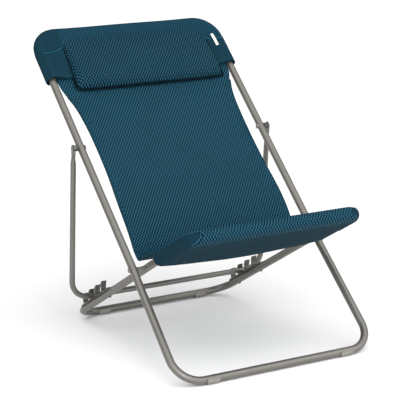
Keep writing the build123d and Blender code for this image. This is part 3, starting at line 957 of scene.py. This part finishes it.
def pillow_rim():
    """Line round the free edges of the pillow, down the left, along the foot, up the right."""
    line = []
    for s in range(1060, int(PILLOW_FOOT) + 8, -8):
        line.append(on_back(pillow_x(0.0, s) - 1.5, s, 8.5))
    for j in range(61):
        share = j / 60
        drawn = 4.0 * abs(2 * share - 1) ** 6
        line.append(on_back(pillow_x(share, PILLOW_FOOT), PILLOW_FOOT - 2.5 + drawn, 8.0))
    for s in range(int(PILLOW_FOOT) + 8, 1060, 8):
        line.append(on_back(pillow_x(1.0, s) + 1.5, s, 8.5))
    return line


# near-black piping round the pillow's free edges: painted shadow beneath its overhang
piping("pillow_painted_shadow", pillow_rim(), "back_frame", 2.2, shade_mat)


# ---- blank woven tag on the hood -------------------------------------------------------------------
def build_tag():
    rows, uvs = [], []
    for i in range(9):
        s = 1056 - 44 * i / 8
        row, uv = [], []
        for j in range(5):
            x = 251 + 7.5 * j / 4 + (s - 1034) * -0.03
            d = hood_depth(x, s) + 7.0 + 0.8 * math.sin(math.pi * i / 8)
            row.append(on_back(x, s, d))
            uv.append((x * MM, s * MM))
        rows.append(row)
        uvs.append(uv)
    obj = grid_object("blank_tag", rows, uvs)
    add_modifier(obj, "SOLIDIFY", thickness=0.8 * MM, offset=0.0)
    add_modifier(obj, "SUBSURF", levels=1, render_levels=1)
    apply_modifiers(obj)
    obj.data.materials.append(tag_mat)
    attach(obj, "back_frame")
    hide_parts("hood_tag")
    return obj


build_tag()


# ---- plain side flaps where the hood is folded round the frame tube --------------------------
FLAP_IN, FLAP_OUT = 209.0, 284.0


def flap_edge(level, m):
    """Slanted, slightly hollow upper edge, m from 0 at its inner end to 1."""
    return level - 26.0 * m - 5.0 * math.sin(math.pi * m)


def build_flap(side, name):
    rows, uvs = [], []
    for i in range(15):
        k = i / 14
        row = []
        for j in range(13):
            m = j / 12
            x = FLAP_IN + (FLAP_OUT - FLAP_IN) * m
            top = flap_edge(1066.0, m)
            s = HOOD_HEM + 0.5 + (top - HOOD_HEM) * k
            d = hood_depth(x, s) + 4.2 + 0.5 * ripple(x, s, 4)
            row.append(on_back(side * x, s, d))
        rows.append(row if side > 0 else row[::-1])
    obj = grid_object(name, rows, arc_uvs(rows))
    add_modifier(obj, "SOLIDIFY", thickness=1.6 * MM, offset=0.0)
    add_modifier(obj, "SUBSURF", levels=1, render_levels=1)
    apply_modifiers(obj)
    obj.data.materials.append(cloth_uv)
    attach(obj, "back_frame")
    return obj


build_flap(-1, "hood_flap_left")
build_flap(1, "hood_flap_right")


def flap_top(side):
    line = []
    for j in range(13):
        x = 211.0 + 71.0 * j / 12
        m = (x - FLAP_IN) / (FLAP_OUT - FLAP_IN)
        s = flap_edge(1061.0, m)
        line.append(on_back(side * x, s, hood_depth(x, s) + 4.6))
    return line


# the flap tops' piping is in the lighter cloth: painted highlight along the fold
piping("hood_piping_left", flap_top(-1), "back_frame")
piping("hood_piping_right", flap_top(1), "back_frame")


def hood_line(s, x_from, x_to, d_sign, proud):
    steps = int(abs(x_to - x_from) / 8)
    line = []
    for j in range(steps + 1):
        x = x_from + (x_to - x_from) * j / steps
        line.append(on_back(x, s, d_sign * (hood_depth(x, s) + proud)))
    return line


stitches("hood_stitching", [
    hood_line(HOOD_HEM + 7, -282, -211, 1, 4.6), hood_line(HOOD_HEM + 7, 211, 282, 1, 4.6),
    hood_line(HOOD_HEM + 7, -282, 282, -1, 1.9),
    [on_back(MESH_FROM, s, hood_depth(MESH_FROM, s) + 1.9) for s in range(1068, 1110, 6)],
], "back_frame", stitch_mat)


def sling_edge_line(side, face):
    line = []
    for s in range(912, 470, -8):
        x = side * (lerp_table(BACK_WIDTH, s) - 9.0)
        d = 0.0 if s > 740 else -5.0 * (740 - s) / 240
        line.append(on_back(x, s, d + face * 2.9))
    return line


stitches("sling_stitching", [
    sling_edge_line(-1, 1), sling_edge_line(1, 1), sling_edge_line(-1, -1), sling_edge_line(1, -1),
], "back_frame", stitch_mat)


def build_nose_cap(side, name):
    """Plain cloth round each front corner of the seat, over the end of the mesh."""
    reach = WRAP + SHEET / 2 + 0.7
    inner = NOSE_BEND - WRAP
    path = [((NOSE_HALF - WRAP, t), (1.0, 0.0)) for t in range(655, int(NOSE_CORNER_T), 8)]
    for a in range(0, 73, 9):
        out = (math.cos(math.radians(a)), math.sin(math.radians(a)))
        path.append(((NOSE_CORNER_X + inner * out[0], NOSE_CORNER_T + inner * out[1]), out))
    rows = []
    for k, ((x, t), out) in enumerate(path):
        share = k / (len(path) - 1)
        high = 56.0 - 16.0 * ease(0.45, 1.0, share)
        low = -78.0 + 60.0 * ease(0.55, 1.0, share)
        row = []
        for j in range(15):
            a = math.radians(high + (low - high) * j / 14)
            px = x + out[0] * reach * math.cos(a)
            pt = t + out[1] * reach * math.cos(a)
            row.append(on_seat(side * px, pt, reach * math.sin(a)))
        rows.append(row if side < 0 else row[::-1])
    obj = grid_object(name, rows, arc_uvs(rows))
    add_modifier(obj, "SOLIDIFY", thickness=1.4 * MM, offset=0.0)
    add_modifier(obj, "SUBSURF", levels=1, render_levels=1)
    apply_modifiers(obj)
    # the caps get the darkened underside cloth: painted shade
    obj.data.materials.append(cloth_under)
    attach(obj, "seat_frame")
    rim = [row[0] if side < 0 else row[-1] for row in rows]
    return obj, rim


cap_left, rim_left = build_nose_cap(-1, "seat_corner_left")
cap_right, rim_right = build_nose_cap(1, "seat_corner_right")
# the seat piping is in the lighter cloth: painted highlight along the caps' rims
for obj in (cap_left, cap_right,
            piping("seat_piping_left", rim_left, "seat_frame", 1.2),
            piping("seat_piping_right", rim_right, "seat_frame", 1.2)):
    shift_cover(obj)


def pocket_seam(t, h):
    half = nose_x(WRAP * 0.4, t)
    return [on_seat(half * (2 * j / 60 - 1), t, h) for j in range(61)]


def ear_seam(side):
    line = []
    for t in range(592, 722, 6):
        line.append(on_seat(side * (nose_x(0.0, t) + 0.9), t, 7.5 - 4.0 * ease(600, 715, t)))
    return line


seat_stitching = stitches("seat_stitching", [
    pocket_seam(742.0, -POCKET_WRAP - 1.2), ear_seam(-1), ear_seam(1),
], "seat_frame", stitch_mat)
shift_cover(seat_stitching)

# ---- floor, light and camera -----------------------------------------------------------------------
mat, tree, bsdf = new_material("pale_floor")
bsdf.inputs["Base Color"].default_value = (0.92, 0.92, 0.92, 1.0)
bsdf.inputs["Roughness"].default_value = 0.9
bsdf.inputs["Specular IOR Level"].default_value = 0.1
bpy.ops.mesh.primitive_plane_add(size=60.0, location=(0, 0, -0.0005))
floor = bpy.context.object
floor.name = "floor"
floor.data.materials.append(mat)

world = bpy.data.worlds.new("studio")
bpy.context.scene.world = world
world.use_nodes = True
world.node_tree.nodes["Background"].inputs[0].default_value = (1.0, 1.0, 1.0, 1.0)
sky = world.node_tree
towards = node(sky, "ShaderNodeVectorMath", operation="DOT_PRODUCT")
sky.links.new(node(sky, "ShaderNodeTexCoord").outputs["Generated"], towards.inputs[0])
towards.inputs[1].default_value = (-0.15, -0.80, 0.58)
soft_box = smooth_range(sky, towards.outputs["Value"], -0.40, 0.95, 0.20, 1.95)
sky.links.new(soft_box, sky.nodes["Background"].inputs[1])
bpy.context.scene.view_settings.view_transform = "Standard"


def area_light(name, place, aim, size, power):
    data = bpy.data.lights.new(name, "AREA")
    data.shape = "DISK"
    data.size = size
    data.energy = power
    lamp = bpy.data.objects.new(name, data)
    lamp.location = place
    lamp.rotation_euler = (Vector(aim) - Vector(place)).to_track_quat("-Z", "Y").to_euler()
    bpy.context.collection.objects.link(lamp)


area_light("key", (-1.2, -3.2, 2.0), (0.0, 0.0, 0.35), 1.2, 30.0)
area_light("fill", (2.6, -2.4, 2.0), (0.0, 0.0, 0.4), 2.4, 12.0)

AZIMUTH = math.radians(-29.089)
ELEVATION = math.radians(12.435)
ROLL = math.radians(-1.37)
DISTANCE = 4.5288
TARGET = Vector((0.16565, 0.28235, 0.28597))
FOCAL_PIXELS = 1578.333
FRAME_PIXELS = 400.0
SENSOR_MM = 36.0

back = Vector((math.sin(AZIMUTH) * math.cos(ELEVATION),
               -math.cos(AZIMUTH) * math.cos(ELEVATION), math.sin(ELEVATION)))
level = Vector((math.cos(AZIMUTH), math.sin(AZIMUTH), 0.0))
upright = back.cross(level)
right = level * math.cos(ROLL) + upright * math.sin(ROLL)
up = upright * math.cos(ROLL) - level * math.sin(ROLL)
cam_data = bpy.data.cameras.new("camera")
cam_data.sensor_width = SENSOR_MM
cam_data.lens = FOCAL_PIXELS * SENSOR_MM / FRAME_PIXELS
cam_data.clip_end = 100.0
cam = bpy.data.objects.new("camera", cam_data)
place = TARGET + back * DISTANCE
cam.matrix_world = Matrix((
    (right.x, up.x, back.x, place.x),
    (right.y, up.y, back.y, place.y),
    (right.z, up.z, back.z, place.z),
    (0.0, 0.0, 0.0, 1.0)))
bpy.context.collection.objects.link(cam)
bpy.context.scene.camera = cam
